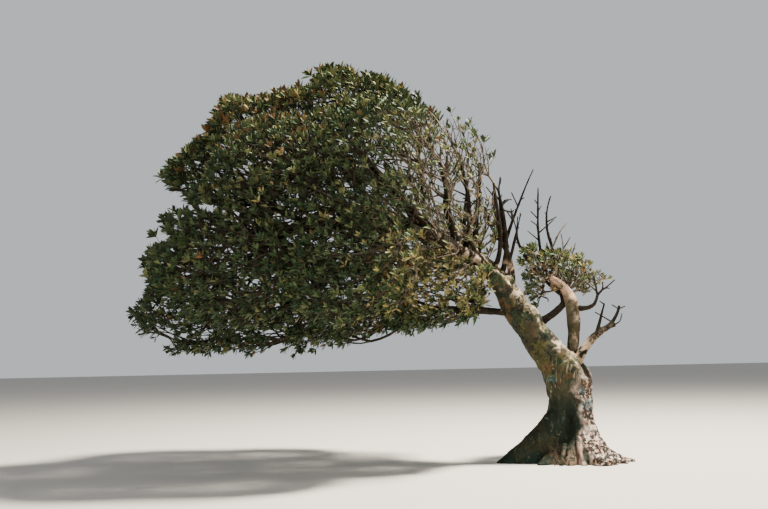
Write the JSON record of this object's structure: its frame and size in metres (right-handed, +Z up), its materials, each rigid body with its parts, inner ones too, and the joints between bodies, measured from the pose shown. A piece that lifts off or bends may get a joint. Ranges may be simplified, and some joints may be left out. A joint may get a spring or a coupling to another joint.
{
  "type": "wind-swept fig tree",
  "caption": "Wind-swept broad-leaved tree: a buttressed trunk, a leaning limb, a crown of leafy masses swept to the lee side and dead twigs to windward.",
  "frame": {"origin": "centre of the trunk's foot, on the flat cut at ground level", "axes": "+Z up, -X towards the lee side that the crown is swept to, -Y towards the side the picture shows"},
  "size_m": [7.9061, 5.0937, 6.561],
  "materials": {
    "bark": "matte",
    "dead_wood": "matte",
    "foliage": "satin"
  },
  "bodies": {
    "root": {"trunk": "bark", "leaning_limb": "bark", "broken_stem": "bark", "right_limb": "dead_wood", "cross_limb": "bark", "hook_limb": "bark", "windward_bough": "bark", "shoot_bough": "dead_wood", "long_bough": "bark", "low_bough": "bark", "front_bough": "bark", "back_bough": "bark", "crest_bough": "bark", "brow_bough": "bark", "lee_low_bough": "bark", "lee_high_bough": "bark", "crest_left_bough": "bark", "crest_right_bough": "bark", "nape_bough": "bark", "under_middle_bough": "bark", "throat_bough": "bark", "front_lee_bough": "bark", "front_crest_bough": "bark", "front_low_bough": "bark", "front_brow_bough": "bark", "back_lee_bough": "bark", "back_crest_bough": "bark", "back_low_bough": "bark", "back_brow_bough": "bark", "leaves_lee_low": "foliage", "leaves_lee_middle": "foliage", "leaves_lee_high": "foliage", "leaves_crest_left": "foliage", "leaves_crest_top": "foliage", "leaves_crest_right": "foliage", "leaves_brow": "foliage", "leaves_nape": "foliage", "leaves_under_left": "foliage", "leaves_under_middle": "foliage", "leaves_throat": "foliage", "leaves_front_lee": "foliage", "leaves_front_middle": "foliage", "leaves_front_crest": "foliage", "leaves_front_low": "foliage", "leaves_front_brow": "foliage", "leaves_back_lee": "foliage", "leaves_back_middle": "foliage", "leaves_back_crest": "foliage", "leaves_back_low": "foliage", "leaves_back_brow": "foliage", "leaves_windward": "foliage", "bare_twigs_head": "dead_wood", "bare_twigs_above": "dead_wood", "bare_twigs_right": "dead_wood", "bare_twigs_hook": "dead_wood"}
  },
  "joints": []
}
